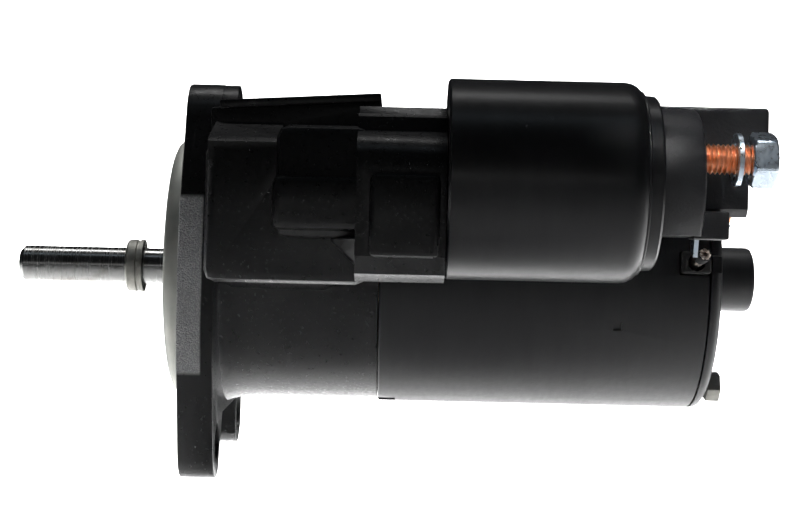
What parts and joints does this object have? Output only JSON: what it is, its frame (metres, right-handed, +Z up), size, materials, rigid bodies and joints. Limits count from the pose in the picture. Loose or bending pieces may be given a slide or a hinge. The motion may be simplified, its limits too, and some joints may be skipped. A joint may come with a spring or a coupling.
{
  "type": "starter motor",
  "caption": "Direct-drive car starter motor with side-mounted solenoid, flanged housing, bare shaft nose, shift fork and retracting pinion.",
  "frame": {"origin": "where the armature axis meets the mounting face of the flange, inside the pilot collar", "axes": "+X along the armature axis towards the rear cap, -X along the shaft nose; -Y towards the solenoid side; +Z up as pictured"},
  "size_m": [0.2195, 0.1298, 0.1116],
  "materials": {
    "black_paint": "semi-gloss black paint over cast aluminium, bare on the pilot collar and flange edge",
    "satin_black": "satin black paint on steel",
    "phosphated_steel": "dark phosphated steel",
    "ferrite": "matt sintered ferrite",
    "laminations": "stacked laminations",
    "copper": "bare copper",
    "ground_steel": "ground bright steel",
    "bronze": "sintered bronze",
    "nylon": "glass-filled nylon",
    "copper_carbon": "pressed copper and graphite",
    "spring_steel": "drawn wire",
    "black_plastic": "moulded thermoset",
    "zinc_plate": "blue zinc plate",
    "rubber": "moulded rubber",
    "braid": "tinned copper braid"
  },
  "bodies": {
    "root": {"drive_end_housing": "black_paint", "yoke": "satin_black", "end_cap": "satin_black", "through_bolt_1": "phosphated_steel", "through_bolt_2": "phosphated_steel", "magnet_1": "ferrite", "magnet_2": "ferrite", "magnet_3": "ferrite", "magnet_4": "ferrite", "mid_bearing_plate": "phosphated_steel", "mid_bush": "bronze", "rear_bush": "bronze", "brush_plate": "nylon", "brush_spring_1": "spring_steel", "brush_spring_2": "spring_steel", "brush_spring_3": "spring_steel", "brush_spring_4": "spring_steel", "lever_pin": "ground_steel", "solenoid_can": "satin_black", "bobbin": "nylon", "solenoid_coil": "copper", "solenoid_core": "ground_steel", "return_spring": "spring_steel", "contact_spring": "spring_steel", "terminal_cap": "black_plastic", "battery_stud": "copper", "motor_stud": "copper", "battery_washer": "zinc_plate", "battery_nut": "zinc_plate", "motor_nut": "zinc_plate", "spade_terminal": "zinc_plate", "lead_lug": "zinc_plate", "lead_grommet": "rubber", "field_lead": "braid"},
    "armature": {"armature_shaft": "ground_steel", "armature_core": "laminations", "winding_front": "copper", "winding_rear": "copper", "commutator": "copper", "stop_ring": "phosphated_steel", "snap_ring": "ground_steel"},
    "drive": {"clutch_shell": "phosphated_steel", "drive_sleeve": "phosphated_steel", "clutch_roller_1": "ground_steel", "clutch_roller_2": "ground_steel", "clutch_roller_3": "ground_steel", "clutch_roller_4": "ground_steel", "clutch_roller_5": "ground_steel"},
    "pinion": {"pinion": "ground_steel"},
    "lever": {"fork_lever": "nylon"},
    "plunger": {"plunger": "ground_steel"},
    "contacts": {"contact_rod": "nylon", "contact_bridge": "copper"},
    "brush_holder_slide_1": {"brush_1": "copper_carbon"},
    "brush_holder_slide_2": {"brush_2": "copper_carbon"},
    "brush_holder_slide_3": {"brush_3": "copper_carbon"},
    "brush_holder_slide_4": {"brush_4": "copper_carbon"}
  },
  "joints": [
    {"name": "armature_spin", "type": "hinge", "parent": "root", "child": "armature", "pos_m": [0.1, 0, 0], "axis": [1, 0, 0], "continuous": true},
    {"name": "plunger_slide", "type": "slide", "parent": "root", "child": "plunger", "axis": [1, 0, 0], "range_m": [0, 0.0093], "stiffness_N_per_m": 900, "springref_m": -0.012, "deforming": ["return_spring"]},
    {"name": "drive_slide", "type": "slide", "parent": "armature", "child": "drive", "axis": [-1, 0, 0], "range_m": [0, 0.0132]},
    {"name": "pinion_freewheel", "type": "hinge", "parent": "drive", "child": "pinion", "pos_m": [0.005, 0, 0], "axis": [1, 0, 0], "continuous": true},
    {"name": "lever_swing", "type": "hinge", "parent": "root", "child": "lever", "pos_m": [0.031, -0.0366, 0.01459], "axis": [0, 0.3704, 0.9289], "range_deg": [0, 19.1]},
    {"name": "contact_slide", "type": "slide", "parent": "root", "child": "contacts", "axis": [1, 0, 0], "range_m": [0, 0.0025], "deforming": ["contact_spring"]},
    {"name": "brush_slide_1", "type": "slide", "parent": "root", "child": "brush_holder_slide_1", "axis": [0, 0.8829, 0.4695], "range_m": [0, 0.003], "stiffness_N_per_m": 300, "springref_m": -0.006, "deforming": ["brush_spring_1"]},
    {"name": "brush_slide_2", "type": "slide", "parent": "root", "child": "brush_holder_slide_2", "axis": [0, -0.4695, 0.8829], "range_m": [0, 0.003], "stiffness_N_per_m": 300, "springref_m": -0.006, "deforming": ["brush_spring_2"]},
    {"name": "brush_slide_3", "type": "slide", "parent": "root", "child": "brush_holder_slide_3", "axis": [0, -0.8829, -0.4695], "range_m": [0, 0.003], "stiffness_N_per_m": 300, "springref_m": -0.006, "deforming": ["brush_spring_3"]},
    {"name": "brush_slide_4", "type": "slide", "parent": "root", "child": "brush_holder_slide_4", "axis": [0, 0.4695, -0.8829], "range_m": [0, 0.003], "stiffness_N_per_m": 300, "springref_m": -0.006, "deforming": ["brush_spring_4"]}
  ],
  "couplings": [
    {"joint": "drive_slide", "follows": "plunger_slide", "ratio": 1.4021},
    {"joint": "lever_swing", "follows": "plunger_slide", "rad_per_m": 35.751},
    {"joint": "contact_slide", "follows": "plunger_slide", "ratio": 0.26}
  ]
}
